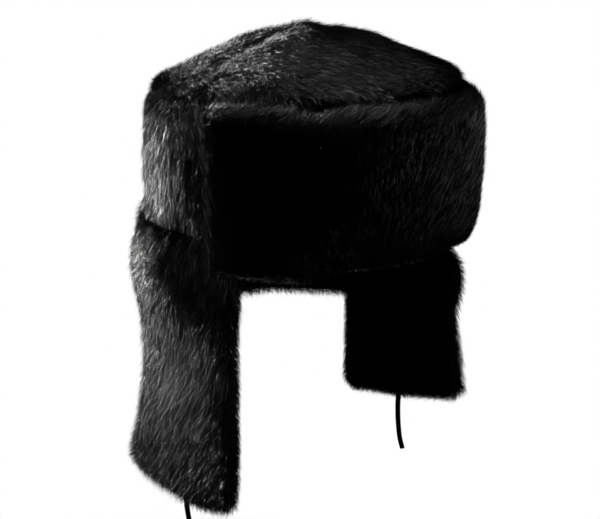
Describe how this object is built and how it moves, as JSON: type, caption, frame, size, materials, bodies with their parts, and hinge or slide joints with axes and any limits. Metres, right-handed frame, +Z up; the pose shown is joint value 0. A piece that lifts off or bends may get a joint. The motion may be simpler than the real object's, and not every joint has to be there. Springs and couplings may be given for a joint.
{
  "type": "fur hat with ear flaps",
  "caption": "Winter hat of black fur: tall crown with a four-part pitched top, front flap turned up, long ear flaps and nape flap hanging, a short tie under each ear flap.",
  "frame": {"origin": "middle of the head opening, level with the fold of the front flap over the brow", "axes": "+Z up through the crown, -Y where the wearer's face looks, +X to the wearer's left"},
  "size_m": [0.2152, 0.2364, 0.3391],
  "materials": {
    "fur": "dense black fur, soft and matt, with a faint sheen on the tips",
    "braid": "flat black braid"
  },
  "bodies": {
    "root": {"crown_band": "fur", "crown_top": "fur", "front_flap": "fur", "ear_flap_right": "fur", "ear_flap_left": "fur", "nape_flap": "fur", "tie_right": "braid", "tie_left": "braid"}
  },
  "joints": []
}
